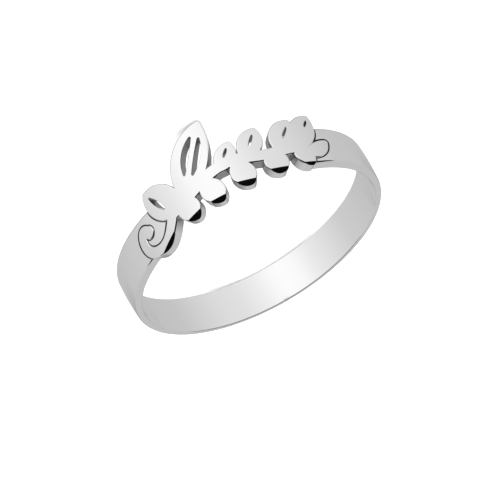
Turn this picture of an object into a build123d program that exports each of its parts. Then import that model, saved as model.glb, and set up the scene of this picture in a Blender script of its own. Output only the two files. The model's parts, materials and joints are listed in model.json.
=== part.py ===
from build123d import *
import math
import os
from collections import namedtuple

# A polished silver ring, one soldered piece: a plain band that thins towards its back, open at the
# front, where a pierced spray of leaves bridges the gap. Lengths are millimetres.
#
# The spray is drawn flat and rolled onto the ring. "Along" runs round the ring from the middle of
# the spray, "up" runs across the band towards the tall leaf. The finished ring lies on its side,
# so up on the drawing is down on the finished part, and the spray faces -Y.

# Finger and band
BORE_RADIUS = 9.08
BAND_WIDTH = 3.0
FRONT_WALL = 0.98
BACK_WALL = 0.45
BAND_CROWN = 0.10        # how far the band's outer face falls away towards its edges
OUTER_ROUND = 0.12       # radius along the band's outer edges
INNER_ROUND = 0.08       # radius along the band's inner edges

# Spray of leaves
SPRAY_REACH = 8.4        # along the ring, from the middle of the spray to the end leaf
SPRAY_RISE = 4.68        # from the middle of the band up to the tall leaf's point
SPRAY_DROP = 1.6         # from the middle of the band down to the lower leaves' points
LEAF_WIDTH = 1.7
STEM_WIDTH = 0.95
TENDRIL_WIDTH = 0.85
BUD_RADIUS = 0.5
POINT_ROUND = 0.25       # radius of a leaf's point
SPRAY_PROUD = 0.06       # how far the spray stands above the band's crown

# Where the band stops under the spray, along the ring
BAND_END_LEFT = 4.8
BAND_END_RIGHT = 6.25

# Engraved line round the spray on the band
LINE_WIDTH = 0.10
LINE_DEPTH = 0.12

# Worn lower edge of the spray's face
ROLL_HEIGHT = 0.42
ROLL_DEPTH = 0.70
ROLL_START = 0.06        # how far outside the face the roll's curve starts, so that it cuts a clear edge
ROLL_BEND_IN = 0.25      # the curve's middle, as a share of the roll's depth
ROLL_BEND_DOWN = 0.70    # and as a share of its height

# The cutting tools reach this far past the metal
CLEAR = 0.5

# Points on a rolled line: this many, and as many more for each millimetre
LINE_POINTS = 9
LINE_POINTS_PER_MM = 6

# The outer face is a circle about an axis that is moved towards the spray, so the wall tapers.
OUTER_RADIUS = BORE_RADIUS + (FRONT_WALL + BACK_WALL) / 2
OUTER_SHIFT = (FRONT_WALL - BACK_WALL) / 2
FACE_RADIUS = OUTER_RADIUS + SPRAY_PROUD

# Leaves: base and point as shares of the spray's reach and rise (or drop, below the middle),
# bulges to the left and right of the line from base to point as shares of the leaf width,
# and the rounding of the point as a share of the usual one.
Leaf = namedtuple("Leaf", "name base_along base_up point_along point_up left right rounding")
LEAVES = [
    Leaf("left", -0.44, -0.30, -0.69, 0.56, 0.72, 0.78, 1.0),
    Leaf("tall", -0.39, -0.20, 0.045, 1.02, 0.94, 0.70, 0.9),
    Leaf("middle_small", -0.03, 0.08, 0.17, 0.48, 0.42, 0.50, 0.8),
    Leaf("middle_large", 0.20, 0.07, 0.415, 0.525, 0.54, 0.54, 0.8),
    Leaf("right_small", 0.48, 0.01, 0.735, 0.50, 0.62, 0.46, 0.8),
    Leaf("right_large", 0.66, -0.10, 0.945, 0.54, 0.64, 0.56, 0.8),
    Leaf("end", 0.69, -0.50, 1.015, 0.07, 0.26, 0.46, 0.8),
    Leaf("low_first", -0.43, 0.08, -0.35, -1.00, 0.54, 0.50, 1.8),
    Leaf("low_second", -0.20, 0.11, -0.09, -0.98, 0.54, 0.50, 1.8),
    Leaf("low_third", 0.09, 0.12, 0.19, -0.92, 0.54, 0.50, 1.8),
    Leaf("low_fourth", 0.38, 0.06, 0.49, -0.91, 0.54, 0.50, 1.8),
    Leaf("low_fifth", 0.64, 0.03, 0.755, -0.98, 0.46, 0.40, 1.6),
]

# Slots pierced along the veins of the upper leaves, in the same columns. The tall leaf has one on
# each side of its middle vein.
SLOTS = [
    Leaf("tall_left", -0.292, 0.305, -0.068, 0.858, 0.27, 0.03, 0.3),
    Leaf("tall_right", -0.244, 0.243, -0.020, 0.796, 0.03, 0.24, 0.3),
    Leaf("left", -0.56, 0.09, -0.655, 0.46, 0.11, 0.11, 0.3),
    Leaf("middle_small", 0.054, 0.248, 0.130, 0.400, 0.05, 0.05, 0.2),
    Leaf("middle_large", 0.277, 0.234, 0.376, 0.443, 0.05, 0.05, 0.2),
    Leaf("right_small", 0.567, 0.177, 0.689, 0.412, 0.05, 0.05, 0.2),
    Leaf("right_large", 0.837, 0.322, 0.905, 0.460, 0.05, 0.05, 0.2),
]

# The stem and the tendril that curls on the left shoulder, as shares of the reach and rise.
Knot = namedtuple("Knot", "along up")
STEM = [
    Knot(-0.54, -0.10),
    Knot(-0.35, 0.02),
    Knot(-0.08, 0.155),
    Knot(0.16, 0.145),
    Knot(0.38, 0.03),
    Knot(0.60, 0.01),
    Knot(0.785, -0.20),
]
TENDRIL = [
    Knot(-0.50, 0.06),
    Knot(-0.60, -0.50),
    Knot(-0.74, -0.94),
    Knot(-0.885, -0.72),
    Knot(-0.925, -0.16),
    Knot(-0.875, 0.10),
    Knot(-0.815, 0.03),
]

# Stretches of the spray whose lower edge is worn round: from and to as shares of the reach,
# start as a share of the drop.
Roll = namedtuple("Roll", "begin end start")
ROLLS = [
    Roll(-0.80, -0.52, -0.96),
    Roll(-0.47, 0.80, -0.62),
]


def flat_point(along, up):
    """Place on the flat drawing, from shares of the spray's reach and rise or drop."""
    return Vector(along * SPRAY_REACH, up * (SPRAY_RISE if up > 0 else SPRAY_DROP))


def leaf_shape(leaf):
    """Flat leaf: two arcs from base to point, with rounded ends."""
    base = flat_point(leaf.base_along, leaf.base_up)
    point = flat_point(leaf.point_along, leaf.point_up)
    middle = (base + point) / 2
    line = (point - base).normalized()
    across = Vector(-line.Y, line.X)
    left_arc = ThreePointArc(base, middle + across * leaf.left * LEAF_WIDTH, point)
    right_arc = ThreePointArc(base, middle - across * leaf.right * LEAF_WIDTH, point)
    outline = make_face([left_arc, right_arc])
    return fillet(outline.vertices(), leaf.rounding * POINT_ROUND)


def ribbon(knots, width):
    """Flat ribbon of even width along a smooth line through the knots."""
    return trace(Spline(*[flat_point(knot.along, knot.up) for knot in knots]), width)


def spray_outline():
    """Flat outline of the whole spray, before the slots are pierced."""
    spray = Sketch()
    for leaf in LEAVES:
        spray += leaf_shape(leaf)
    spray += ribbon(STEM, STEM_WIDTH)
    spray += ribbon(TENDRIL, TENDRIL_WIDTH)
    bud = flat_point(TENDRIL[-1].along, TENDRIL[-1].up)
    return spray + Pos(bud) * Circle(BUD_RADIUS)


def rolled_point(flat, radius):
    """Place on a cylinder about the finger for a place on the flat drawing."""
    turn = flat.X / OUTER_RADIUS
    return Vector(-radius * math.sin(turn), -radius * math.cos(turn), -flat.Y)


def rolled_edge(edge, radius):
    """Edge of the flat drawing as a smooth curve on the cylinder."""
    count = LINE_POINTS + LINE_POINTS_PER_MM * math.ceil(edge.length)
    points = [rolled_point(edge @ (step / (count - 1)), radius) for step in range(count)]
    directions = []
    for end in (0, 1):
        turn = (edge @ end).X / OUTER_RADIUS
        flat = edge % end
        stretch = flat.X * radius / OUTER_RADIUS
        rolled = Vector(-stretch * math.cos(turn), stretch * math.sin(turn), -flat.Y)
        directions.append(rolled.normalized())
    return Edge.make_spline(points, tangents=directions, scale=False)


def rolled_wire(wire, radius):
    """Closed outline of the flat drawing on the cylinder."""
    return Wire([rolled_edge(edge, radius) for edge in wire.order_edges()])


def rolled_stock(sketch):
    """Radial bars over each face of a flat drawing, from inside the bore to outside the face."""
    radius = BORE_RADIUS - CLEAR
    height = 4 * (SPRAY_RISE + BAND_WIDTH)
    depth = FACE_RADIUS + OUTER_SHIFT + CLEAR - radius
    tube = Solid.make_cylinder(radius, height, Plane.XY.offset(-height / 2))
    bars = []
    for face in sketch.faces():
        skin = tube.faces().filter_by(GeomType.CYLINDER)[0]
        skin = skin.split_by_perimeter(rolled_wire(face.outer_wire(), radius), Keep.INSIDE)
        for hole in face.inner_wires():
            skin = skin.split_by_perimeter(rolled_wire(hole, radius), Keep.OUTSIDE)
        bars.append(Solid.thicken(skin, depth))
    return bars


def turned(profile, begin=0.0, sweep=360.0):
    """Profile drawn in radius and height, turned about the outer face's axis.

    Angles are degrees round the ring from the middle of the spray."""
    placed = Pos(0, -OUTER_SHIFT) * Rot(0, 0, -90 - begin) * Rot(90, 0, 0) * profile
    axis = Axis((0, -OUTER_SHIFT, 0), (0, 0, -1))
    return revolve(placed, axis, sweep)


def degrees_along(share):
    """Angle round the ring for a share of the spray's reach."""
    return math.degrees(share * SPRAY_REACH / OUTER_RADIUS)


def bore_cutter():
    """Cylinder that clears the finger hole."""
    return Cylinder(BORE_RADIUS, 4 * (SPRAY_RISE + BAND_WIDTH))


def band():
    """The whole hoop: crowned outside, straight inside, edges rounded."""
    half = BAND_WIDTH / 2
    rim = OUTER_RADIUS - BAND_CROWN
    outside = ThreePointArc((rim, -half), (OUTER_RADIUS, 0), (rim, half))
    inside = Polyline((rim, half), (BORE_RADIUS / 2, half), (BORE_RADIUS / 2, -half), (rim, -half))
    profile = make_face([outside, inside])
    corners = profile.vertices().group_by(Axis.X)[-1]
    hoop = turned(fillet(corners, OUTER_ROUND)) - bore_cutter()
    bore_edges = hoop.edges().filter_by(GeomType.CIRCLE).filter_by(
        lambda edge: abs(edge.radius - BORE_RADIUS) < OUTER_ROUND / 10
    )
    return fillet(bore_edges, INNER_ROUND)


def wedge(begin, end):
    """Wedge from the finger's axis that takes in the ring between two places along it."""
    reach = 3 * OUTER_RADIUS
    corners = [(0, 0)]
    for along in (begin, end):
        turn = along / OUTER_RADIUS
        corners.append((-reach * math.sin(turn), -reach * math.cos(turn)))
    return extrude(make_face(Polyline(*corners, close=True)), BAND_WIDTH, both=True)


def open_band():
    """The hoop with its front stretch taken out."""
    return band() - wedge(-BAND_END_LEFT, BAND_END_RIGHT)


def roll_cutter(roll):
    """Tool that wears the lower edge of the spray's face round."""
    begin = degrees_along(roll.begin)
    sweep = degrees_along(roll.end) - begin
    start = -roll.start * SPRAY_DROP
    top = (FACE_RADIUS + ROLL_START, start)
    bend = (FACE_RADIUS - ROLL_BEND_IN * ROLL_DEPTH, start + ROLL_BEND_DOWN * ROLL_HEIGHT)
    foot = (FACE_RADIUS - ROLL_DEPTH, start + ROLL_HEIGHT)
    below = start + ROLL_HEIGHT + BAND_WIDTH
    outside = FACE_RADIUS + CLEAR
    curve = ThreePointArc(top, bend, foot)
    rest = Polyline(foot, (foot[0], below), (outside, below), (outside, start), top)
    return turned(make_face([curve, rest]), begin, sweep)


def leaf_spray(outline):
    """The spray's metal: the rolled outline between the bore and its own face."""
    height = 2 * (SPRAY_RISE + BAND_WIDTH)
    blank = Pos(0, -OUTER_SHIFT) * Cylinder(FACE_RADIUS, height) - bore_cutter()
    metal = blank & rolled_stock(outline)[0]
    for roll in ROLLS:
        metal -= roll_cutter(roll)
    return metal


def engraved_lines(outline):
    """Tool for the line that follows the spray's outline where it crosses the band."""
    reach = 2 * SPRAY_REACH
    shoulders = Sketch()
    for begin, end in ((-reach, -BAND_END_LEFT), (BAND_END_RIGHT, reach)):
        shoulders += Pos((begin + end) / 2, 0) * Rectangle(end - begin, BAND_WIDTH)
    lines = trace(outline.edges(), LINE_WIDTH) & shoulders
    floor = Pos(0, -OUTER_SHIFT) * Cylinder(OUTER_RADIUS - LINE_DEPTH, 2 * BAND_WIDTH)
    return [bar - floor for bar in rolled_stock(lines)]


def resting_tilt(point_up):
    """Angle, in degrees, that lays the ring on the tall leaf's point and the back of its rim."""
    corner_y = OUTER_RADIUS - OUTER_SHIFT - BAND_CROWN - OUTER_ROUND
    corner_z = OUTER_ROUND - BAND_WIDTH / 2
    run = corner_y + BORE_RADIUS
    rise = corner_z + point_up
    return math.degrees(math.atan2(rise, run) - math.asin(OUTER_ROUND / math.hypot(rise, run)))


def build_ring():
    """The finished ring as it lies, with the middle of its foot at the origin."""
    outline = spray_outline()
    metal = open_band() + leaf_spray(outline)
    slots = Sketch()
    for slot in SLOTS:
        slots += leaf_shape(slot)
    for bar in rolled_stock(slots) + engraved_lines(outline):
        metal -= bar
    tilt = resting_tilt(outline.bounding_box().max.Y)
    laid = Rot(-tilt, 0, 0) * metal
    box = laid.bounding_box()
    middle = box.center()
    shift = Pos(-middle.X, -middle.Y, -box.min.Z)
    bore = shift * Rot(-tilt, 0, 0)
    print("tilt", round(tilt, 4))
    print("bore middle", bore.position)
    print("bore axis", (bore * Pos(0, 0, 1)).position - bore.position)
    return shift * laid


def main():
    os.makedirs("parts", exist_ok=True)
    ring = build_ring()
    export_step(ring, "parts/ring.step")


main()
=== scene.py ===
import json
import logging
import math
from contextlib import contextmanager
from dataclasses import dataclass
from enum import Enum
from typing import Callable, Iterable, Iterator, Sequence

import bmesh
import bpy
import numpy as np
from mathutils import Matrix, Vector


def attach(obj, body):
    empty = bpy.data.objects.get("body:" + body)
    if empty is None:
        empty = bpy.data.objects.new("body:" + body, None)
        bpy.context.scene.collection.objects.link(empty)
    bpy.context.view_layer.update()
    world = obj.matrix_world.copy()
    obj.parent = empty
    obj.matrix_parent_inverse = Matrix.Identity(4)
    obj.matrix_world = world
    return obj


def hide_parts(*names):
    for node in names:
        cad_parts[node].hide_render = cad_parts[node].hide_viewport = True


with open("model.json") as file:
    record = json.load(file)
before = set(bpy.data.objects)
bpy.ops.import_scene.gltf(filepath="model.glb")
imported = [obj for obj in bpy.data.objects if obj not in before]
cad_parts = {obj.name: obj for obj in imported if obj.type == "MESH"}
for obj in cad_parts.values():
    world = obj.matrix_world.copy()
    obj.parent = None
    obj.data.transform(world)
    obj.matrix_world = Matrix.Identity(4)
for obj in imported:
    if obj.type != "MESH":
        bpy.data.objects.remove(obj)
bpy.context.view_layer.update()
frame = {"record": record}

logging.basicConfig(level=logging.INFO, format="%(name)s: %(message)s")
log = logging.getLogger("ring")

# The metal is cut and soldered flat, in millimetres, then rolled round the finger and taken to
# metres. On the flat metal X runs along the ring from the middle of the spray, Y runs up across
# the band towards the tall leaf, and Z rises from the finger side to the face.
MM = 0.001

# Heights and places on the flat metal that differ by less than this are the same.
TOUCH = 1e-4


class Join(Enum):
    """How one closed piece of metal is worked into another."""

    SOLDER = "UNION"
    CUT = "DIFFERENCE"


def only(piece: bpy.types.Object) -> None:
    """Makes a piece the only one selected, and active."""
    bpy.ops.object.select_all(action="DESELECT")
    piece.select_set(True)
    bpy.context.view_layer.objects.active = piece


@contextmanager
def at_the_bench(piece: bpy.types.Object) -> Iterator[None]:
    """Holds a piece in edit mode with nothing selected.

    Args:
        piece: The mesh object to edit.
    """
    only(piece)
    bpy.ops.object.mode_set(mode="EDIT")
    bpy.ops.mesh.select_mode(type="VERT")
    bpy.ops.mesh.select_all(action="DESELECT")
    yield
    bpy.ops.object.mode_set(mode="OBJECT")


def pick(piece: bpy.types.Object, kind: str, test: Callable) -> None:
    """Selects the parts of a mesh in edit mode that pass a test.

    Args:
        piece: The mesh object, in edit mode.
        kind: "edges" or "faces".
        test: Says yes or no for one edge or face.
    """
    bpy.ops.mesh.select_mode(type={"edges": "EDGE", "faces": "FACE"}[kind])
    bpy.ops.mesh.select_all(action="DESELECT")
    mesh = bmesh.from_edit_mesh(piece.data)
    for part in getattr(mesh, kind):
        if test(part):
            part.select_set(True)
    bmesh.update_edit_mesh(piece.data)


def push(offset: Sequence[float]) -> None:
    """Extrudes what is selected in edit mode by an offset."""
    bpy.ops.mesh.extrude_region_move(TRANSFORM_OT_translate={"value": offset})


def face_outwards() -> None:
    """Selects the whole mesh in edit mode and turns its faces outwards."""
    bpy.ops.mesh.select_all(action="SELECT")
    bpy.ops.mesh.normals_make_consistent(inside=False)


def single_point(name: str, place: tuple[float, float]) -> bpy.types.Object:
    """A mesh of one vertex, from which an outline is drawn.

    Args:
        name: The new object's name.
        place: Where the vertex lies on the flat metal.

    Returns:
        The object. Its vertex is at the place and its origin is the flat metal's.
    """
    bpy.ops.mesh.primitive_plane_add(size=1)
    piece = bpy.context.object
    piece.name = name
    with at_the_bench(piece):
        bpy.ops.mesh.select_all(action="SELECT")
        bpy.ops.mesh.merge(type="CENTER")
        bpy.ops.transform.translate(value=(*place, 0))
    return piece


def finish_modifier(piece: bpy.types.Object, name: str) -> None:
    """Applies one modifier to a piece."""
    only(piece)
    bpy.ops.object.modifier_apply(modifier=name)


def work_in(
    piece: bpy.types.Object, tool: bpy.types.Object, join: Join, crossing: bool = False
) -> None:
    """Solders a tool piece onto a piece or cuts with it, and uses the tool up.

    Args:
        piece: The metal that stays.
        tool: The closed mesh that is soldered on or cut away.
        join: Which of the two is done.
        crossing: Whether one of them may cross itself, as a tight curl does.
    """
    modifier = piece.modifiers.new("join", "BOOLEAN")
    modifier.operation = join.value
    modifier.solver = "EXACT"
    modifier.use_self = crossing
    modifier.object = tool
    finish_modifier(piece, modifier.name)
    bpy.data.objects.remove(tool)


def slice_across(
    piece: bpy.types.Object, places: Iterable[float], snap: float = 1e-5
) -> None:
    """Cuts lines across the flat metal, so that it can be rolled round there.

    Args:
        piece: The flat metal.
        places: How far along the metal each line lies.
        snap: A line goes through a vertex that lies nearer to it than this.
    """
    with at_the_bench(piece):
        for place in places:
            bpy.ops.mesh.select_all(action="SELECT")
            bpy.ops.mesh.bisect(plane_co=(place, 0, 0), plane_no=(1, 0, 0), threshold=snap)


@dataclass
class RingSizes:
    """The ring's driving sizes, in millimetres.

    A crown is how far a side falls away towards the band's edges, and the waist is how much
    the wall is thinner at the ring's sides.
    """

    bore: float
    band_width: float = 2.98
    front_wall: float = 0.98
    back_wall: float = 0.396
    crown: float = 0.10
    outer_round: float = 0.16
    inner_crown: float = 0.05
    inner_round: float = 0.045
    waist: float = 0.06

    @property
    def outer(self) -> float:
        """Radius of the outer face, about its own axis."""
        return self.bore + (self.front_wall + self.back_wall) / 2

    @property
    def shift(self) -> float:
        """How far the outer face's axis stands off the finger's, towards the spray."""
        return (self.front_wall - self.back_wall) / 2

    @property
    def half_way(self) -> float:
        """Length of the flat metal from the middle of the spray to the back of the ring."""
        return math.pi * self.outer

    def wall(self, turn: np.ndarray) -> np.ndarray:
        """Wall of the band at an angle from the middle of the spray, less a waist at the sides."""
        across = self.shift * np.sin(turn)
        even = self.shift * np.cos(turn) + np.sqrt(self.outer ** 2 - across ** 2) - self.bore
        return even - self.waist * np.sin(turn) ** 2

    def radius(self, turn: np.ndarray, height: np.ndarray) -> np.ndarray:
        """Where a height on the flat metal comes to lie once it is rolled round.

        Args:
            turn: Angles round the ring from the middle of the spray.
            height: Heights over the finger side.

        Returns:
            Distances from the finger's axis. The rounded edge on the finger side keeps its
            size, and what lies above it thins with the wall.
        """
        low = self.inner_crown + self.inner_round
        thinned = (self.wall(turn) - low) / (self.front_wall - low)
        return self.bore + np.minimum(height, low) + np.maximum(height - low, 0) * thinned


@dataclass(frozen=True)
class Arc:
    """One arc of an outline, drawn anticlockwise round its centre by spinning a vertex."""

    centre: Vector
    angle: float
    radius: float


@dataclass(frozen=True)
class Leaf:
    """A flat leaf between two arcs with rounded ends.

    The base and the point are shares of the spray's reach and of its rise, or of its drop below
    the middle. The bulges, left and right of the line from base to point, are shares of the leaf
    width, and the rounding of the ends is a share of the usual one.
    """

    name: str
    base: tuple[float, float]
    point: tuple[float, float]
    left: float
    right: float
    rounding: float


LEAVES = (
    Leaf("left", (-0.44, -0.30), (-0.69, 0.56), 0.72, 0.78, 1.0),
    Leaf("tall", (-0.39, -0.20), (0.045, 1.02), 0.94, 0.70, 0.9),
    Leaf("middle_small", (-0.03, 0.08), (0.17, 0.48), 0.42, 0.50, 0.8),
    Leaf("middle_large", (0.20, 0.07), (0.415, 0.525), 0.54, 0.54, 0.8),
    Leaf("right_small", (0.48, 0.01), (0.735, 0.50), 0.62, 0.46, 0.8),
    Leaf("right_large", (0.66, -0.10), (0.945, 0.54), 0.64, 0.56, 0.8),
    Leaf("end", (0.69, -0.50), (1.015, 0.07), 0.26, 0.46, 0.8),
    Leaf("low_first", (-0.43, 0.08), (-0.35, -1.00), 0.54, 0.50, 1.8),
    Leaf("low_second", (-0.20, 0.11), (-0.09, -0.975), 0.54, 0.50, 1.8),
    Leaf("low_third", (0.09, 0.12), (0.19, -0.92), 0.54, 0.50, 1.8),
    Leaf("low_fourth", (0.38, 0.06), (0.49, -0.91), 0.54, 0.50, 1.8),
    Leaf("low_fifth", (0.64, 0.03), (0.755, -0.98), 0.46, 0.40, 1.6),
)

# Slots pierced along the veins of the upper leaves. The tall leaf has one on each side of its
# middle vein.
SLOTS = (
    Leaf("slot_tall_left", (-0.292, 0.305), (-0.068, 0.858), 0.27, 0.03, 0.3),
    Leaf("slot_tall_right", (-0.244, 0.243), (-0.020, 0.796), 0.03, 0.24, 0.3),
    Leaf("slot_left", (-0.56, 0.09), (-0.655, 0.46), 0.11, 0.11, 0.3),
    Leaf("slot_middle_small", (0.054, 0.248), (0.130, 0.400), 0.05, 0.05, 0.2),
    Leaf("slot_middle_large", (0.277, 0.234), (0.376, 0.443), 0.05, 0.05, 0.2),
    Leaf("slot_right_small", (0.567, 0.177), (0.689, 0.412), 0.05, 0.05, 0.2),
    Leaf("slot_right_large", (0.837, 0.322), (0.905, 0.460), 0.05, 0.05, 0.2),
)

# Knots of the stem's and the tendril's middle lines, as shares of the reach and the rise or drop.
STEM = ((-0.54, -0.10), (-0.35, 0.02), (-0.08, 0.155), (0.16, 0.145), (0.38, 0.03), (0.60, 0.01),
        (0.785, -0.20))
TENDRIL = ((-0.50, 0.06), (-0.60, -0.50), (-0.74, -0.94), (-0.885, -0.72), (-0.925, -0.16),
           (-0.875, 0.10), (-0.815, 0.03))


@dataclass(frozen=True)
class Roll:
    """A stretch of lower edge that is worn round, below the line from one end to the other.

    Both ends are shares of the spray's reach and drop.
    """

    begin: tuple[float, float]
    end: tuple[float, float]


ROLLS = (
    Roll((-0.804, -1.20), (-0.540, -0.66)),
    Roll((-0.446, -0.84), (-0.262, -0.68)),
    Roll((-0.196, -0.735), (-0.012, -0.81)),
    Roll((0.065, -0.575), (0.274, -0.86)),
    Roll((0.357, -0.66), (0.565, -0.84)),
    Roll((0.615, -0.79), (1.10, -1.03)),
)


@dataclass
class LeafSpray:
    """The pierced spray of leaves that bridges the band's opening.

    The reach, the rise and the drop start in the middle of the spray, halfway across the band.
    The face stands proud of the shoulders and the other side lies a hair under the band's, so
    that no two faces share a plane. A chord is the longest step along a curve. Cutting tools
    stand past the metal by the overshoot.
    """

    sizes: RingSizes
    reach: float = 8.4
    rise: float = 4.68
    drop: float = 1.6
    leaf_width: float = 1.7
    stem_width: float = 0.95
    tendril_width: float = 0.85
    bud_radius: float = 0.5
    point_round: float = 0.25
    proud: float = 0.02
    edge_round: float = 0.11
    edge_steps: int = 5
    edge_angle: float = 60.0
    under_share: float = 1 / 3
    slot_round: float = 0.05
    roll_height: float = 0.66
    roll_slopes: tuple[float, float] = (38.0, 58.0)
    roll_steps: int = 12
    chord: float = 0.07
    spare: float = 0.05
    overshoot: float = 1.0
    under: float = 0.002
    loft_weld: float = 0.00275
    outline_weld: float = 0.0035
    # Heights over which the walls' painted shade and sawn roughness grow from none, at the first,
    # to full, at the second.
    saw_and_shade_range: tuple[float, float] = (-1.35, -0.75)

    @property
    def face(self) -> float:
        """Height of the spray's face over the finger side."""
        return self.sizes.front_wall + self.proud

    def flat(self, share: tuple[float, float]) -> Vector:
        """Place on the flat metal for shares of the reach and the rise or drop."""
        along, up = share
        return Vector((along * self.reach, up * (self.rise if up > 0 else self.drop)))

    def leaf_arcs(self, leaf: Leaf) -> tuple[Vector, list[Arc]]:
        """Works out the four arcs of a leaf's outline.

        Args:
            leaf: The leaf to draw.

        Returns:
            The place where the outline starts, and its arcs in order.
        """
        base, point = self.flat(leaf.base), self.flat(leaf.point)
        chord = (point - base).length
        line = (point - base) / chord
        across = Vector((-line.y, line.x))
        middle = (base + point) / 2
        rounding = leaf.rounding * self.point_round

        def side(bulge: float, way: float) -> tuple[Vector, float]:
            """Centre and radius of the arc that bulges to one side of the leaf."""
            radius = (chord ** 2 / 4 + bulge ** 2) / (2 * bulge)
            return middle + across * way * (bulge - radius), radius

        left_centre, left_radius = side(leaf.left * self.leaf_width, 1)
        right_centre, right_radius = side(leaf.right * self.leaf_width, -1)

        def end(way: float) -> Vector:
            """Centre of the rounding at the point, way 1, or at the base, way -1."""
            near_left, near_right = left_radius - rounding, right_radius - rounding
            gap = left_centre - right_centre
            apart = gap.length
            along_gap = (near_right ** 2 - near_left ** 2 + apart ** 2) / (2 * apart)
            off = math.sqrt(near_right ** 2 - along_gap ** 2)
            return right_centre + gap / apart * along_gap + line * way * off

        tip, foot = end(1), end(-1)

        def touch(centre: Vector, radius: float, rounded: Vector) -> Vector:
            """Where a side's arc runs into the rounding of an end."""
            return centre + (rounded - centre) * radius / (radius - rounding)

        corners = [
            touch(right_centre, right_radius, foot), touch(right_centre, right_radius, tip),
            touch(left_centre, left_radius, tip), touch(left_centre, left_radius, foot),
        ]
        arcs = []
        turns = ((right_centre, right_radius), (tip, rounding),
                 (left_centre, left_radius), (foot, rounding))
        for place, (centre, radius) in enumerate(turns):
            start = corners[place] - centre
            stop = corners[(place + 1) % 4] - centre
            angle = math.atan2(stop.y, stop.x) - math.atan2(start.y, start.x)
            arcs.append(Arc(centre, angle % (2 * math.pi), radius))
        return corners[0], arcs

    def lofted(self, leaf: Leaf, layers: list[tuple[float, float]]) -> bpy.types.Object:
        """Makes a closed plate in a leaf's shape whose sides follow a profile.

        Args:
            leaf: The leaf to cut.
            layers: How far the outline stands out at each height, and that height, from the
                finger side to the face.

        Returns:
            The plate.
        """
        start, arcs = self.leaf_arcs(leaf)
        away = (start - arcs[0].centre).normalized()
        piece = single_point(leaf.name, (0, 0))
        with at_the_bench(piece):
            for number, (out, height) in enumerate(layers):
                if number:
                    bpy.ops.mesh.select_all(action="DESELECT")
                    bpy.ops.mesh.primitive_plane_add(size=1)
                    bpy.ops.mesh.merge(type="CENTER")
                else:
                    bpy.ops.mesh.select_all(action="SELECT")
                bpy.ops.transform.translate(value=(*(start + away * out), height))
                for arc in arcs:
                    steps = max(3, math.ceil(arc.angle * arc.radius / self.chord))
                    bpy.ops.mesh.spin(
                        steps=steps, angle=arc.angle, center=(*arc.centre, height), axis=(0, 0, -1)
                    )
            bpy.ops.mesh.select_all(action="SELECT")
            bpy.ops.mesh.remove_doubles(threshold=self.loft_weld)
            bpy.ops.mesh.select_all(action="SELECT")
            bpy.ops.mesh.bridge_edge_loops()
            for height in (layers[0][1], layers[-1][1]):
                pick(piece, "edges", lambda edge: all(
                    abs(vert.co.z - height) < TOUCH for vert in edge.verts
                ))
                bpy.ops.mesh.edge_face_add()
            face_outwards()
        return piece

    def flare(self) -> list[tuple[float, float]]:
        """Layers of the quarter round by which a slot widens towards the face."""
        layers = []
        for step in range(self.edge_steps + 1):
            angle = math.pi / 2 * step / self.edge_steps
            out = self.slot_round * (1 - math.cos(angle))
            layers.append((out, self.face - self.slot_round * (1 - math.sin(angle))))
        return layers

    def leaf(self, leaf: Leaf, spare: float, grown: float = 0.0) -> bpy.types.Object:
        """Cuts one leaf out as a closed bar that stands past both sides of the metal.

        Args:
            leaf: The leaf to cut.
            spare: How far the bar stands past each side.
            grown: How far its outline stands out all round.

        Returns:
            The bar.
        """
        return self.lofted(leaf, [(grown, -spare), (grown, self.face + spare)])

    def slot(self, leaf: Leaf) -> bpy.types.Object:
        """Makes the saw's path for one slot, which flares where the slot's edge is rounded."""
        layers = self.flare()
        foot, top = -self.overshoot, self.face + self.overshoot
        return self.lofted(leaf, [(0.0, foot), *layers, (layers[-1][0], top)])

    def smooth_line(self, knots: tuple[tuple[float, float], ...]) -> list[Vector]:
        """Even points on the smooth line through the knots.

        Args:
            knots: Shares of the reach and the rise or drop.

        Returns:
            Points a chord apart on the cubic line whose bend runs on over each knot.
        """
        places = np.array([self.flat(knot)[:] for knot in knots])
        steps = np.linalg.norm(np.diff(places, axis=0), axis=1)
        at = np.concatenate(([0.0], np.cumsum(steps)))
        count = len(at)
        system, wanted = np.zeros((count, count)), np.zeros((count, 2))
        for end, inner in ((0, slice(0, 4)), (count - 1, slice(count - 4, count))):
            system[end, end] = 1
            for axis in (0, 1):
                cubic = np.polyfit(at[inner] - at[end], places[inner, axis], 3)
                wanted[end, axis] = cubic[2]
        for knot in range(1, count - 1):
            before, after = steps[knot - 1], steps[knot]
            system[knot, knot - 1:knot + 2] = (after, 2 * (before + after), before)
            slopes = np.diff(places[knot - 1:knot + 2], axis=0) / [[before], [after]]
            wanted[knot] = 3 * (after * slopes[0] + before * slopes[1])
        speeds = np.linalg.solve(system, wanted)
        points = []
        for span in range(count - 1):
            number = math.ceil(steps[span] / self.chord)
            share = np.linspace(0, 1, number, endpoint=False)[:, None]
            points.extend(
                places[span] * (1 + 2 * share) * (1 - share) ** 2
                + places[span + 1] * (3 - 2 * share) * share ** 2
                + speeds[span] * steps[span] * share * (1 - share) ** 2
                - speeds[span + 1] * steps[span] * share ** 2 * (1 - share)
            )
        points.append(places[-1])
        return [Vector(point) for point in points]

    def ribbon(self, name: str, knots: tuple, width: float, spare: float) -> bpy.types.Object:
        """Cuts a strip of even width along a smooth line.

        Args:
            name: The new object's name.
            knots: Knots of the strip's middle line.
            width: The strip's width.
            spare: How far the strip stands past each side of the metal.

        Returns:
            The strip as a closed bar.
        """
        points = self.smooth_line(knots)
        piece = single_point(name, points[0])
        with at_the_bench(piece):
            bpy.ops.mesh.select_all(action="SELECT")
            bpy.ops.transform.translate(value=(0, 0, -spare))
            for here, there in zip(points, points[1:]):
                push((*(there - here), 0))
            bpy.ops.mesh.select_all(action="SELECT")
            push((0, 0, self.face + 2 * spare))
        wide = piece.modifiers.new("width", "SOLIDIFY")
        wide.thickness = width
        wide.offset = 0
        wide.use_even_offset = True
        finish_modifier(piece, wide.name)
        with at_the_bench(piece):
            face_outwards()
        return piece

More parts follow.
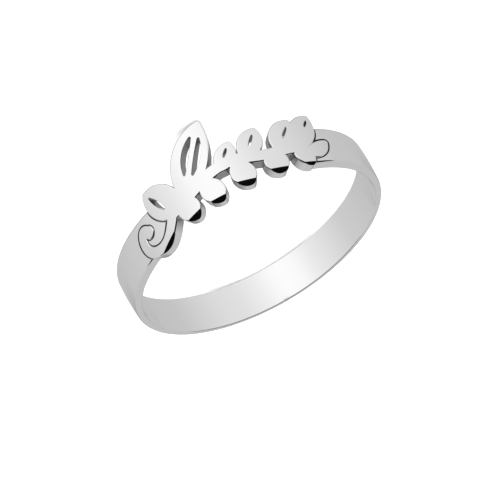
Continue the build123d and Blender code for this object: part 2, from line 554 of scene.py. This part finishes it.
    def bud(self, spare: float, grown: float = 0.0) -> bpy.types.Object:
        """The round bud at the end of the tendril, as a bar that stands past both sides."""
        place = self.flat(TENDRIL[-1])
        bpy.ops.mesh.primitive_cylinder_add(
            vertices=math.ceil(2 * math.pi * self.bud_radius / self.chord),
            radius=self.bud_radius + grown,
            depth=self.face + 2 * spare,
            location=(*place, self.face / 2),
        )
        bud = bpy.context.object
        bud.name = "bud"
        bpy.ops.object.transform_apply()
        return bud

    def trim(
        self, piece: bpy.types.Object, low: float, high: float, snap: float = 1e-6
    ) -> None:
        """Saws a bar off flat at two heights, through vertices nearer to them than the snap."""
        with at_the_bench(piece):
            for height, way in ((low, -1), (high, 1)):
                bpy.ops.mesh.select_all(action="SELECT")
                bpy.ops.mesh.bisect(
                    plane_co=(0, 0, height), plane_no=(0, 0, way),
                    use_fill=True, clear_outer=True, threshold=snap,
                )
            bpy.ops.mesh.select_all(action="SELECT")
            bpy.ops.mesh.remove_doubles(threshold=self.outline_weld)

    def round_edges(self, piece: bpy.types.Object) -> None:
        """Rounds the edge round the face, and more lightly the edge round the finger side."""
        sides = ((self.face, self.edge_round, self.edge_steps),
                 (-self.under, self.edge_round * self.under_share, self.edge_steps // 2))
        with at_the_bench(piece):
            for height, rounding, steps in sides:
                pick(piece, "edges", lambda edge: (
                    all(abs(vert.co.z - height) < TOUCH for vert in edge.verts)
                    and edge.calc_face_angle(0) > math.radians(self.edge_angle)
                ))
                bpy.ops.mesh.bevel(
                    offset=rounding, segments=steps, affect="EDGES", clamp_overlap=False
                )

    def roll_tool(self, roll: Roll) -> bpy.types.Object:
        """Tool that wears the spray's lower edge round over one stretch.

        Its curve leaves the face at a clear crease and dips ever more steeply.

        Args:
            roll: The stretch to wear.

        Returns:
            The closed tool.
        """
        begin, end = self.flat(roll.begin), self.flat(roll.end)
        down = Vector(((end - begin).y, -(end - begin).x)).normalized()
        step = self.roll_height / self.roll_steps
        slopes = np.tan(np.radians(np.linspace(*self.roll_slopes, self.roll_steps)))
        lead = -2 * self.spare
        places = [(lead, self.face - lead * slopes[0]), (0.0, self.face)]
        for slope in slopes:
            places.append((places[-1][0] + step, places[-1][1] - step * slope))
        foot, top = places[-1][0] + self.overshoot, self.face + self.overshoot
        places += [(foot, places[-1][1]), (foot, top), (lead, top)]
        piece = single_point("roll_tool", begin)
        with at_the_bench(piece):
            bpy.ops.mesh.select_all(action="SELECT")
            bpy.ops.transform.translate(value=(*(down * places[0][0]), places[0][1]))
            for here, there in zip(places, places[1:]):
                push((*(down * (there[0] - here[0])), there[1] - here[1]))
            bpy.ops.mesh.select_all(action="SELECT")
            bpy.ops.mesh.edge_face_add()
            push((*(end - begin), 0))
            face_outwards()
        return piece

    def outline(
        self, name: str, leaves: Iterable[Leaf], low: float, high: float, grown: float = 0.0
    ) -> bpy.types.Object:
        """Solders stem, leaves, tendril and bud into one plate between two heights.

        Each of them is a bar of another length, so that no two ends lie in one plane when they
        are soldered, and the whole is then sawn off flat.

        Args:
            name: The new object's name.
            leaves: The leaves that belong to it.
            low: Height of the plate's lower side.
            high: Height of its upper side.
            grown: How far the outline stands out all round.

        Returns:
            The plate.
        """
        plate = self.ribbon(name, STEM, self.stem_width + 2 * grown, self.spare)
        for number, leaf in enumerate(leaves):
            work_in(plate, self.leaf(leaf, self.spare * (2 + number), grown), Join.SOLDER)
        tendril = self.ribbon(
            "tendril", TENDRIL, self.tendril_width + 2 * grown, self.spare / 2
        )
        work_in(tendril, self.bud(self.spare / 4, grown), Join.SOLDER, crossing=True)
        work_in(plate, tendril, Join.SOLDER)
        self.trim(plate, low, high)
        return plate

    def build(self) -> bpy.types.Object:
        """Makes the spray's plate and rounds its edges.

        Returns:
            The flat spray, not pierced yet, as one closed plate.
        """
        spray = self.outline("spray", LEAVES, -self.under, self.face)
        self.round_edges(spray)
        log.info("spray: %d vertices", len(spray.data.vertices))
        return spray


@dataclass
class FingerBand:
    """The plain band: two tapering arms that meet at the back of the finger."""

    sizes: RingSizes
    end_left: float = 5.08
    end_right: float = 6.25
    line_width: float = 0.08
    line_depth: float = 0.12
    followed: tuple[str, ...] = ("left", "right_large", "end", "low_fifth")
    crown_steps: int = 12
    round_steps: int = 4

    def arm(self, begin: float, end: float) -> bpy.types.Object:
        """Makes one flat arm of the band.

        Args:
            begin: Where it begins along the ring.
            end: Where it ends.

        Returns:
            The arm as a closed bar of full thickness, with its long edges rounded.
        """
        sizes = self.sizes
        half = sizes.band_width / 2
        top, low = sizes.front_wall - sizes.crown, sizes.inner_crown

        def across(crown: float, middle: float, way: float) -> None:
            """Sweeps the profile's last point over the crown, to the band's other edge."""
            radius = (half ** 2 + crown ** 2) / (2 * crown)
            bpy.ops.mesh.spin(
                steps=self.crown_steps, angle=2 * math.asin(half / radius), axis=(1, 0, 0),
                center=(begin, 0, middle - way * radius),
            )

        arm = single_point("arm", (begin, -half))
        with at_the_bench(arm):
            bpy.ops.mesh.select_all(action="SELECT")
            bpy.ops.transform.translate(value=(0, 0, top))
            across(sizes.crown, sizes.front_wall, 1)
            push((0, 0, low - top))
            across(sizes.inner_crown, 0.0, -1)
            bpy.ops.mesh.select_all(action="SELECT")
            bpy.ops.mesh.edge_face_add()
            push((end - begin, 0, 0))
            face_outwards()
            for height, rounding in ((top, sizes.outer_round), (low, sizes.inner_round)):
                pick(arm, "edges", lambda edge: all(
                    abs(vert.co.z - height) < TOUCH and abs(abs(vert.co.y) - half) < TOUCH
                    and abs(vert.co.y - edge.verts[0].co.y) < TOUCH for vert in edge.verts
                ))
                bpy.ops.mesh.bevel(
                    offset=rounding, segments=self.round_steps, affect="EDGES",
                    clamp_overlap=False,
                )
        return arm

    def build(self, spray: LeafSpray) -> list[bpy.types.Object]:
        """Makes both arms and engraves the spray's outline in their shoulders.

        Args:
            spray: The spray whose outline is followed.

        Returns:
            The left arm and the right arm.
        """
        sizes = self.sizes
        floor = sizes.front_wall - self.line_depth
        leaves = [leaf for leaf in LEAVES if leaf.name in self.followed]
        arms = []
        for begin, end in ((-sizes.half_way, -self.end_left), (self.end_right, sizes.half_way)):
            arm = self.arm(begin, end)
            graver = spray.outline("graver", leaves, floor, spray.face, self.line_width)
            work_in(arm, graver, Join.CUT)
            arms.append(arm)
            log.info("arm: %d vertices", len(arm.data.vertices))
        return arms


@dataclass
class LeafRing:
    """The whole ring: spray and band soldered together, rolled round the finger and laid down.

    The strips are the steps in which the metal is rolled, under the spray and behind it.
    """

    sizes: RingSizes
    spray: LeafSpray
    band: FingerBand
    spray_strip: float = 0.1
    band_strip: float = 0.3
    smooth_angle: float = 28.0
    area_weight: int = 100
    wall_out: float = 0.3
    wall_up: float = 0.5
    seam: float = 0.001

    def solder(self) -> bpy.types.Object:
        """Solders the flat ring together, pierces it and wears its lower edge.

        Both come last, because a slot and the wear cross the arms' ends.

        Returns:
            The flat ring as one closed piece.
        """
        ring = self.spray.build()
        ring.name = "ring"
        for arm in self.band.build(self.spray):
            work_in(ring, arm, Join.SOLDER)
        for slot in SLOTS:
            work_in(ring, self.spray.slot(slot), Join.CUT)
        for roll in ROLLS:
            work_in(ring, self.spray.roll_tool(roll), Join.CUT)
        return ring

    def slice(self, ring: bpy.types.Object) -> None:
        """Cuts the flat ring across into strips, narrower under the spray than behind it."""
        reach = self.spray.reach + self.spray_strip
        near = np.arange(-reach, reach, self.spray_strip)
        far = np.arange(reach, self.sizes.half_way - self.band_strip / 2, self.band_strip)
        slice_across(ring, [*near, *far, *(-far[1:])])

    def polish(self, ring: bpy.types.Object) -> None:
        """Shades the flat ring smooth and keeps its shading as an attribute.

        Flat faces are still truly flat here, so their shading is exact, and rolling the metal
        turns it with the metal.

        Args:
            ring: The flat ring.
        """
        only(ring)
        bpy.ops.object.shade_smooth_by_angle(angle=math.radians(self.smooth_angle))
        weighted = ring.modifiers.new("polish", "WEIGHTED_NORMAL")
        weighted.keep_sharp = True
        weighted.weight = self.area_weight
        finish_modifier(ring, weighted.name)
        mesh = ring.data
        facing = np.empty(len(mesh.loops) * 3, dtype=np.float32)
        mesh.corner_normals.foreach_get("vector", facing)
        mesh.attributes.new("facing", "FLOAT_VECTOR", "CORNER").data.foreach_set(
            "vector", facing
        )

    def mark_tarnish_and_wall_shade(self, ring: bpy.types.Object) -> None:
        """Marks the floor of the engraved lines, where tarnish stays, and the walls that get
        painted shade.

        The walls of the slots and between the lower leaves are rougher, as the saw left them, and
        their colour is darkened as painted shade. Walls that look up, and the lower leaves'
        points, keep the bright polished colour.

        Args:
            ring: The flat ring.
        """
        mesh = ring.data
        low, high = self.spray.saw_and_shade_range
        sawn_and_shaded = []
        for face in mesh.polygons:
            # Side walls that don't look up get painted shade in their colour and the sawn
            # roughness, growing from none to full over the height range.
            wall = abs(face.normal.z) < self.wall_out and face.normal.y < self.wall_up
            for index in face.vertices:
                share = (mesh.vertices[index].co.y - low) / (high - low)
                sawn_and_shaded.append(min(max(share, 0.0), 1.0) * wall)
        mesh.attributes.new("sawn_and_shaded", "FLOAT", "CORNER").data.foreach_set("value", sawn_and_shaded)
        places = np.empty(len(mesh.vertices) * 3)
        mesh.vertices.foreach_get("co", places)
        along, _, height = places.reshape(-1, 3).T
        band = self.band
        deep = np.abs(height - self.sizes.front_wall + band.line_depth) < 2 * TOUCH
        marked = deep & ((along < -band.end_left) | (along > band.end_right))
        tarnish = mesh.attributes.new("tarnish", "FLOAT", "POINT")
        tarnish.data.foreach_set("value", marked.astype(np.float32))

    def roll(self, ring: bpy.types.Object) -> None:
        """Rolls the flat ring round the finger and closes it at the back.

        Args:
            ring: The flat ring, sliced and polished.
        """
        mesh = ring.data
        with at_the_bench(ring):
            pick(ring, "faces", lambda face: all(
                abs(abs(vert.co.x) - self.sizes.half_way) < TOUCH for vert in face.verts
            ))
            bpy.ops.mesh.delete(type="ONLY_FACE")
        places = np.empty(len(mesh.vertices) * 3)
        mesh.vertices.foreach_get("co", places)
        along, up, height = places.reshape(-1, 3).T
        turn = along / self.sizes.outer
        radius = self.sizes.radius(turn, height)
        rolled = np.stack((-radius * np.sin(turn), -radius * np.cos(turn), -up), axis=1)
        corners = np.empty(len(mesh.loops), dtype=np.int32)
        mesh.loops.foreach_get("vertex_index", corners)
        facing = np.empty(len(mesh.loops) * 3)
        mesh.attributes["facing"].data.foreach_get("vector", facing)
        ahead, sideways, out = facing.reshape(-1, 3).T
        angle = turn[corners]
        turned = np.stack((
            -out * np.sin(angle) - ahead * np.cos(angle),
            -out * np.cos(angle) + ahead * np.sin(angle),
            -sideways,
        ), axis=1)
        mesh.vertices.foreach_set("co", rolled.ravel())
        mesh.attributes["facing"].data.foreach_set("vector", turned.ravel())
        with at_the_bench(ring):
            bpy.ops.mesh.select_all(action="SELECT")
            bpy.ops.mesh.remove_doubles(threshold=self.seam)

    def lay(self, ring: bpy.types.Object, place: tuple, axis: tuple) -> None:
        """Lays the ring on the floor as its bore says, and takes it to metres.

        Args:
            ring: The rolled ring, upright about the finger's axis, in millimetres.
            place: Middle of the bore, in metres.
            axis: Direction of the bore.
        """
        lean = Vector((0, 0, 1)).rotation_difference(Vector(axis)).to_matrix()
        mesh = ring.data
        facing = np.empty(len(mesh.loops) * 3)
        mesh.attributes["facing"].data.foreach_get("vector", facing)
        laid = facing.reshape(-1, 3) @ np.array(lean).T
        mesh.transform(
            Matrix.Translation(Vector(place)) @ lean.to_4x4() @ Matrix.Scale(MM, 4)
        )
        mesh.normals_split_custom_set(laid.tolist())
        mesh.attributes.remove(mesh.attributes["facing"])

    def build(self, place: tuple, axis: tuple) -> bpy.types.Object:
        """Makes the ring and dresses it in silver.

        Args:
            place: Middle of the bore, in metres.
            axis: Direction of the bore.

        Returns:
            The finished ring.
        """
        ring = self.solder()
        self.slice(ring)
        self.polish(ring)
        self.mark_tarnish_and_wall_shade(ring)
        self.roll(ring)
        self.lay(ring, place, axis)
        log.info("ring: %d vertices, %d faces", len(ring.data.vertices), len(ring.data.polygons))
        return ring


def wire(
    tree: bpy.types.NodeTree, kind: str, values: dict | None = None, **settings: object
) -> bpy.types.Node:
    """Adds a node to a tree, sets it up and joins its inputs.

    Args:
        tree: The tree of a material, a group or the world.
        kind: The node's type, without its leading "ShaderNode".
        values: For each input, by name or number, a value or the socket that feeds it.
        settings: The node's own settings.

    Returns:
        The node.
    """
    node = tree.nodes.new(kind if kind.startswith("Node") else "ShaderNode" + kind)
    for setting, choice in settings.items():
        setattr(node, setting, choice)
    for name, value in (values or {}).items():
        if isinstance(value, bpy.types.NodeSocket):
            tree.links.new(value, node.inputs[name])
        else:
            node.inputs[name].default_value = value
    return node


def grey_ramp(
    tree: bpy.types.NodeTree, feed: bpy.types.NodeSocket, stops: Sequence[tuple[float, float]]
) -> bpy.types.NodeSocket:
    """Turns a number from 0 to 1 into a grey through pairs of place and grey.

    Args:
        tree: The tree to work in.
        feed: The number.
        stops: The pairs, in order of place.

    Returns:
        The grey.
    """
    ramp = wire(tree, "ValToRGB", {"Fac": feed})
    elements = ramp.color_ramp.elements
    while len(elements) < len(stops):
        elements.new(0.5)
    for element, (place, grey) in zip(elements, stops):
        element.position = place
        element.color = (grey, grey, grey, 1)
    return ramp.outputs["Color"]


@dataclass(frozen=True)
class Silver:
    """Polished silver: bright, with the fine wear of a buffing wheel, dark in engraved lines, and
    with painted shade on the rough sawn walls of the openings.
    """

    colour: tuple = (0.955, 0.955, 0.953)
    tarnish: tuple = (0.035, 0.035, 0.037)
    # Painted shade: the dark grey colour of the walls in the slots and between the lower leaves,
    # which are also rougher as sawn.
    sawn_and_shaded: tuple = (0.42, 0.42, 0.42)
    sawn_roughness: float = 0.25
    roughness: float = 0.07
    wear: float = 0.06
    dull: float = 0.35
    ripple_size: float = 1.6 * MM
    ripple_height: float = 0.0012 * MM
    scratch_size: float = 0.03 * MM
    scratch_stretch: float = 12.0
    scratch_height: float = 0.00002 * MM
    cloud_size: float = 4.0 * MM
    grime_size: float = 3.2 * MM
    grime_edge: tuple[float, float] = (0.05, 0.6)
    grime_patch: tuple[float, float] = (0.2, 0.6)
    grime_least: float = 0.75

    def material(self) -> bpy.types.Material:
        """Makes the material.

        Returns:
            The material, which reads Object coordinates, the attribute tarnish and the attribute
            that marks the walls' painted shade and sawn roughness.
        """
        metal = bpy.data.materials.new("polished_silver")
        metal.use_nodes = True
        tree = metal.node_tree
        tree.nodes.clear()
        place = wire(tree, "TexCoord").outputs["Object"]
        marks = wire(tree, "Group", node_tree=self.buffing_marks())
        tree.links.new(place, marks.inputs["Place"])
        mask = wire(tree, "Attribute", attribute_name="tarnish").outputs["Fac"]
        grime = wire(tree, "Group", node_tree=self.grime())
        tree.links.new(place, grime.inputs["Place"])
        tree.links.new(mask, grime.inputs["Mask"])
        # Painted shade: the marked walls take the darker grey in place of the silver colour, and
        # below they are also made rougher as sawn.
        sawn_and_shaded = wire(tree, "Attribute", attribute_name="sawn_and_shaded").outputs["Fac"]
        colour_with_wall_shade = wire(tree, "Mix", {
            0: sawn_and_shaded, 6: (*self.colour, 1), 7: (*self.sawn_and_shaded, 1),
        }, data_type="RGBA")
        colour = wire(tree, "Mix", {
            0: grime.outputs["Amount"], 6: colour_with_wall_shade.outputs[2], 7: (*self.tarnish, 1),
        }, data_type="RGBA")
        ground = wire(tree, "Mix", {0: sawn_and_shaded, 2: self.roughness, 3: self.sawn_roughness})
        worn = wire(tree, "Math", {
            0: marks.outputs["Wear"], 1: self.wear, 2: ground.outputs[0],
        }, operation="MULTIPLY_ADD")
        rough = wire(tree, "Mix", {
            0: grime.outputs["Amount"], 2: worn.outputs[0], 3: self.dull,
        })
        bump = wire(tree, "Bump", {
            "Strength": 1.0, "Distance": 1.0, "Height": marks.outputs["Height"],
        })
        shader = wire(tree, "BsdfPrincipled", {
            "Base Color": colour.outputs[2], "Metallic": 1.0, "Roughness": rough.outputs[0],
            "Normal": bump.outputs["Normal"],
        })
        wire(tree, "OutputMaterial", {"Surface": shader.outputs[0]})
        return metal

    def buffing_marks(self) -> bpy.types.NodeTree:
        """Group for the ripple and the fine scratches that buffing leaves.

        Returns:
            The group. It gives how worn each place is and its height in metres.
        """
        group = bpy.data.node_groups.new("buffing_marks", "ShaderNodeTree")
        group.interface.new_socket("Place", in_out="INPUT", socket_type="NodeSocketVector")
        group.interface.new_socket("Wear", in_out="OUTPUT", socket_type="NodeSocketFloat")
        group.interface.new_socket("Height", in_out="OUTPUT", socket_type="NodeSocketFloat")
        place = wire(group, "NodeGroupInput").outputs["Place"]
        ripple = wire(group, "TexNoise", {
            "Vector": place, "Scale": 1 / self.ripple_size, "Detail": 1.0, "Roughness": 0.4,
        })
        drawn = wire(group, "Mapping", {
            "Vector": place, "Scale": (1.0, 1.0, self.scratch_stretch),
        })
        scratch = wire(group, "TexNoise", {
            "Vector": drawn.outputs[0], "Scale": 1 / (self.scratch_stretch * self.scratch_size),
            "Detail": 3.0, "Roughness": 0.6,
        })
        cloud = wire(group, "TexNoise", {
            "Vector": place, "Scale": 1 / self.cloud_size, "Detail": 3.0, "Roughness": 0.6,
        })
        wear = wire(group, "Math", {
            0: scratch.outputs["Fac"], 1: cloud.outputs["Fac"],
        }, operation="MULTIPLY")
        fine = wire(group, "Math", {
            0: scratch.outputs["Fac"], 1: self.scratch_height,
        }, operation="MULTIPLY")
        height = wire(group, "Math", {
            0: ripple.outputs["Fac"], 1: self.ripple_height, 2: fine.outputs[0],
        }, operation="MULTIPLY_ADD")
        wire(group, "NodeGroupOutput", {"Wear": wear.outputs[0], "Height": height.outputs[0]})
        return group

    def grime(self) -> bpy.types.NodeTree:
        """Group for the dark tarnish that stays in the engraved lines.

        Returns:
            The group. It gives how much of each place is tarnish.
        """
        group = bpy.data.node_groups.new("line_tarnish", "ShaderNodeTree")
        group.interface.new_socket("Place", in_out="INPUT", socket_type="NodeSocketVector")
        group.interface.new_socket("Mask", in_out="INPUT", socket_type="NodeSocketFloat")
        group.interface.new_socket("Amount", in_out="OUTPUT", socket_type="NodeSocketFloat")
        entry = wire(group, "NodeGroupInput")
        patchy = wire(group, "TexNoise", {
            "Vector": entry.outputs["Place"], "Scale": 1 / self.grime_size, "Detail": 2.0,
        })
        depth = wire(group, "MapRange", {
            "Value": entry.outputs["Mask"],
            "From Min": self.grime_edge[0], "From Max": self.grime_edge[1],
        }, interpolation_type="SMOOTHSTEP")
        share = wire(group, "MapRange", {
            "Value": patchy.outputs["Fac"],
            "From Min": self.grime_patch[0], "From Max": self.grime_patch[1],
            "To Min": self.grime_least, "To Max": 1.0,
        })
        amount = wire(group, "Math", {
            0: depth.outputs[0], 1: share.outputs[0],
        }, operation="MULTIPLY")
        wire(group, "NodeGroupOutput", {"Amount": amount.outputs[0]})
        return group


@dataclass
class Camera:
    """The photo's camera: where it looks, from which side and how far it is rolled.

    The photo holds the ring with its openwork turned up. The ring lies on its side here, so the
    camera is rolled to keep the ring's angle in the picture.
    """

    azimuth: float = 3.265
    elevation: float = 35.747
    roll: float = 149.141
    distance: float = 1250.0 * MM
    aim: tuple = (0.538 * MM, 1.237 * MM, 3.912 * MM)
    pixels_per_mm: float = 14.335
    picture: int = 500
    sensor: float = 36.0

    def back(self) -> Vector:
        """Direction from the ring to the camera."""
        turn = math.radians(self.azimuth)
        rise = math.radians(self.elevation)
        return Vector((
            math.sin(turn) * math.cos(rise),
            -math.cos(turn) * math.cos(rise),
            math.sin(rise),
        ))

    def place(self) -> bpy.types.Object:
        """Adds the camera and makes it the scene's own.

        Returns:
            The camera object.
        """
        back = self.back()
        level = back.to_track_quat("Z", "Y")
        roll = Matrix.Rotation(math.radians(self.roll), 4, "Z")
        bpy.ops.object.camera_add()
        camera = bpy.context.object
        camera.name = "photo_camera"
        place = Matrix.Translation(Vector(self.aim) + back * self.distance)
        camera.matrix_world = place @ level.to_matrix().to_4x4() @ roll
        field = self.picture / self.pixels_per_mm * MM
        camera.data.sensor_width = self.sensor
        camera.data.lens = self.sensor * self.distance / field
        bpy.context.scene.camera = camera
        return camera


@dataclass
class Studio:
    """A pale floor in an even white tent, with a dark card high on the camera's side.

    The ring mirrors the tent. A grey is what the metal shows for a direction, and 1 is white.
    The first greys run round the horizon, by degrees from straight in front of the ring, with
    its left as the photo shows it on the plus side. The card, the gap low behind the ring and
    the table right below it dim them.
    """

    floor_size: float = 2.0
    floor_white: float = 0.95
    floor_roughness: float = 0.9
    strength: float = 1.9
    horizon: tuple = (
        (-180, 0.54), (-150, 0.535), (-95, 0.578), (-50, 0.745), (-33, 0.78), (-14, 0.885),
        (-2, 0.98), (8, 1.024), (22, 0.99), (40, 0.84), (64, 0.71), (80, 0.63), (115, 0.575),
        (155, 0.53), (180, 0.54),
    )
    card_up: float = 58.0
    card_inner: float = 44.0
    card_outer: float = 48.0
    card_width: float = 0.58
    card_grey: float = 0.004
    gap: tuple = ((0.215, 1.0), (0.27, 0.6), (0.52, 0.6), (0.62, 1.0))
    gap_side: tuple = (-0.62, -0.98)
    table: tuple = ((0.08, 0.6), (0.18, 1.0))

    def floor(self) -> bpy.types.Object:
        """Lays the floor.

        Returns:
            The floor, which the metal doesn't mirror.
        """
        bpy.ops.mesh.primitive_plane_add(size=self.floor_size)
        floor = bpy.context.object
        floor.name = "floor"
        paint = bpy.data.materials.new("floor_paint")
        paint.use_nodes = True
        shader = paint.node_tree.nodes["Principled BSDF"]
        shader.inputs["Base Color"].default_value = (*(self.floor_white,) * 3, 1)
        shader.inputs["Roughness"].default_value = self.floor_roughness
        shader.inputs["Specular IOR Level"].default_value = 0.0
        floor.data.materials.append(paint)
        floor.visible_glossy = False
        return floor

    def tent(self) -> bpy.types.World:
        """Hangs the tent: white light for the floor, and the greys that the metal mirrors.

        Returns:
            The world.
        """
        world = bpy.data.worlds.new("tent")
        world.use_nodes = True
        tree = world.node_tree
        tree.nodes.clear()
        way = wire(tree, "TexCoord").outputs["Generated"]
        parts = wire(tree, "SeparateXYZ", {0: way})
        front = wire(tree, "Math", {0: parts.outputs[1], 1: -1.0}, operation="MULTIPLY")
        azimuth = wire(tree, "Math", {
            0: parts.outputs[0], 1: front.outputs[0],
        }, operation="ARCTAN2")
        compass = wire(tree, "MapRange", {
            "Value": azimuth.outputs[0], "From Min": -math.pi, "From Max": math.pi,
        })
        around = grey_ramp(tree, compass.outputs[0], [
            ((degrees + 180) / 360, grey) for degrees, grey in self.horizon
        ])
        up = math.radians(self.card_up)
        facing = wire(tree, "VectorMath", {
            0: way, 1: (0, -math.cos(up), math.sin(up)),
        }, operation="DOT_PRODUCT")
        sideways = wire(tree, "Math", {
            0: parts.outputs[0], 1: parts.outputs[0],
        }, operation="MULTIPLY")
        near = wire(tree, "Math", {
            0: sideways.outputs[0], 1: self.card_width, 2: facing.outputs["Value"],
        }, operation="MULTIPLY_ADD")
        card = wire(tree, "MapRange", {
            "Value": near.outputs[0],
            "From Min": math.cos(math.radians(self.card_outer)),
            "From Max": math.cos(math.radians(self.card_inner)),
            "To Min": 1.0, "To Max": self.card_grey,
        }, interpolation_type="SMOOTHSTEP")
        height = wire(tree, "MapRange", {"Value": parts.outputs[2], "From Min": -1.0})
        gap = grey_ramp(tree, height.outputs[0], self.gap)
        level = wire(tree, "CombineXYZ", {0: parts.outputs[0], 1: front.outputs[0]})
        along = wire(tree, "VectorMath", {0: level.outputs[0]}, operation="NORMALIZE")
        back = wire(tree, "SeparateXYZ", {0: along.outputs[0]})
        side = wire(tree, "MapRange", {
            "Value": back.outputs[1], "From Min": self.gap_side[0], "From Max": self.gap_side[1],
        })
        behind = wire(tree, "Mix", {0: side.outputs[0], 2: 1.0, 3: gap})
        shade = wire(tree, "Math", {
            0: card.outputs[0], 1: behind.outputs[0],
        }, operation="MULTIPLY")
        dim = wire(tree, "Math", {
            0: grey_ramp(tree, height.outputs[0], self.table), 1: shade.outputs[0],
        }, operation="MULTIPLY")
        seen = wire(tree, "Math", {0: around, 1: dim.outputs[0]}, operation="MULTIPLY")
        mirrored = wire(tree, "LightPath").outputs["Is Glossy Ray"]
        light = wire(tree, "Mix", {0: mirrored, 2: self.strength, 3: seen.outputs[0]})
        background = wire(tree, "Background", {"Color": light.outputs[0]})
        wire(tree, "OutputWorld", {"Surface": background.outputs[0]})
        world.cycles.sampling_method = "NONE"
        bpy.context.scene.world = world
        return world

    def set_up(self) -> None:
        """Lays the floor, hangs the tent and keeps whites white."""
        self.floor()
        self.tent()
        bpy.context.scene.view_settings.view_transform = "Standard"


def main() -> None:
    """Builds the ring and its studio."""
    bore = frame["record"]["mounts"][0]
    sizes = RingSizes(bore["dims"]["r_mm"])
    ring = LeafRing(sizes, LeafSpray(sizes), FingerBand(sizes)).build(
        bore["pos_m"], bore["axis"]
    )
    ring.data.materials.clear()
    ring.data.materials.append(Silver().material())
    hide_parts("ring")
    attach(ring, "root")
    Camera().place()
    Studio().set_up()


if __name__ == "__main__":
    main()
